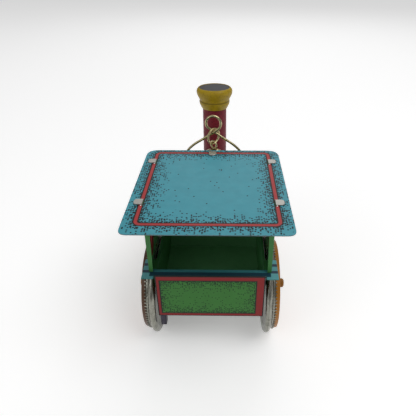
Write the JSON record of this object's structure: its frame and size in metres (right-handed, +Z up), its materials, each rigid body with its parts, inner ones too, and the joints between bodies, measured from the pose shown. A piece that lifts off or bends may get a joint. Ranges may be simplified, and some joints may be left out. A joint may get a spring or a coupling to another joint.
{
  "type": "toy train locomotive",
  "caption": "Tinplate toy locomotive with an open cab, flanged wheels on axles, a boiler with a chimney, and a bell hung from a wire bail.",
  "frame": {"origin": "bottom centre of the whole box, on the plane that the wheels stand on", "axes": "+Y forward along the locomotive, +X to its right, +Z up"},
  "size_m": [0.0634, 0.113, 0.091],
  "materials": {
    "teal_litho": "glossy printed tinplate",
    "green_litho": "glossy printed tinplate",
    "dark_green_lacquer": "glossy lacquered tinplate",
    "red_litho": "glossy printed tinplate",
    "black_litho": "satin printed tinplate",
    "orange_litho": "glossy printed tinplate",
    "maroon_paint": "gloss paint",
    "yellow_paint": "gloss paint",
    "black_plastic": "matte",
    "bare_tin": "bright tinplate",
    "dark_tin": "dull tinplate",
    "gilt_wire": "polished",
    "bell_brass": "polished"
  },
  "bodies": {
    "body": {"roof": "teal_litho", "running_board": "teal_litho", "front_deck": "teal_litho", "cab_side_left": "green_litho", "cab_side_right": "green_litho", "rear_panel": "green_litho", "frame_side_left": "green_litho", "frame_side_right": "green_litho", "boiler_shell": "green_litho", "cab_front_wall": "dark_green_lacquer", "floor_pan": "dark_green_lacquer", "rear_lug": "dark_tin", "front_beam": "red_litho", "cowcatcher": "red_litho", "boiler_front": "black_litho", "chimney_disc": "black_plastic", "chimney_stack": "maroon_paint", "chimney_cap": "yellow_paint", "chimney_collar": "yellow_paint"},
    "rear_wheelset": {"rear_axle": "bare_tin", "rear_tread_left": "bare_tin", "rear_tread_right": "bare_tin", "rear_face_left": "orange_litho", "rear_face_right": "orange_litho", "rear_hub_left": "gilt_wire", "rear_hub_right": "gilt_wire"},
    "front_wheelset": {"front_axle": "bare_tin", "front_tread_left": "bare_tin", "front_tread_right": "bare_tin", "front_face_left": "orange_litho", "front_face_right": "orange_litho", "front_hub_left": "gilt_wire", "front_hub_right": "gilt_wire"},
    "hanger": {"bail": "gilt_wire"},
    "link": {"chain_link": "gilt_wire"},
    "bell": {"bell": "bell_brass", "bell_eye": "gilt_wire"},
    "clapper": {"clapper": "dark_tin"}
  },
  "joints": [
    {"name": "rear_wheel_spin", "type": "hinge", "parent": "body", "child": "rear_wheelset", "pos_m": [0, -0.02285, 0.0214], "axis": [1, 0, 0], "continuous": true},
    {"name": "front_wheel_spin", "type": "hinge", "parent": "body", "child": "front_wheelset", "pos_m": [0, 0.02745, 0.014], "axis": [1, 0, 0], "continuous": true},
    {"name": "bail_tilt", "type": "hinge", "parent": "body", "child": "hanger", "pos_m": [0, 0.01695, 0.045], "axis": [1, 0, 0], "range_deg": [-4, 4]},
    {"name": "link_swing", "type": "hinge", "parent": "hanger", "child": "link", "pos_m": [0, 0.01695, 0.07725], "axis": [1, 0, 0], "range_deg": [-4, 4]},
    {"name": "bell_swing", "type": "hinge", "parent": "link", "child": "bell", "pos_m": [0, 0.01695, 0.0713], "axis": [1, 0, 0], "range_deg": [-6, 6]},
    {"name": "clapper_swing", "type": "hinge", "parent": "bell", "child": "clapper", "pos_m": [0, 0.01695, 0.0658], "axis": [1, 0, 0], "range_deg": [-12, 12]}
  ]
}
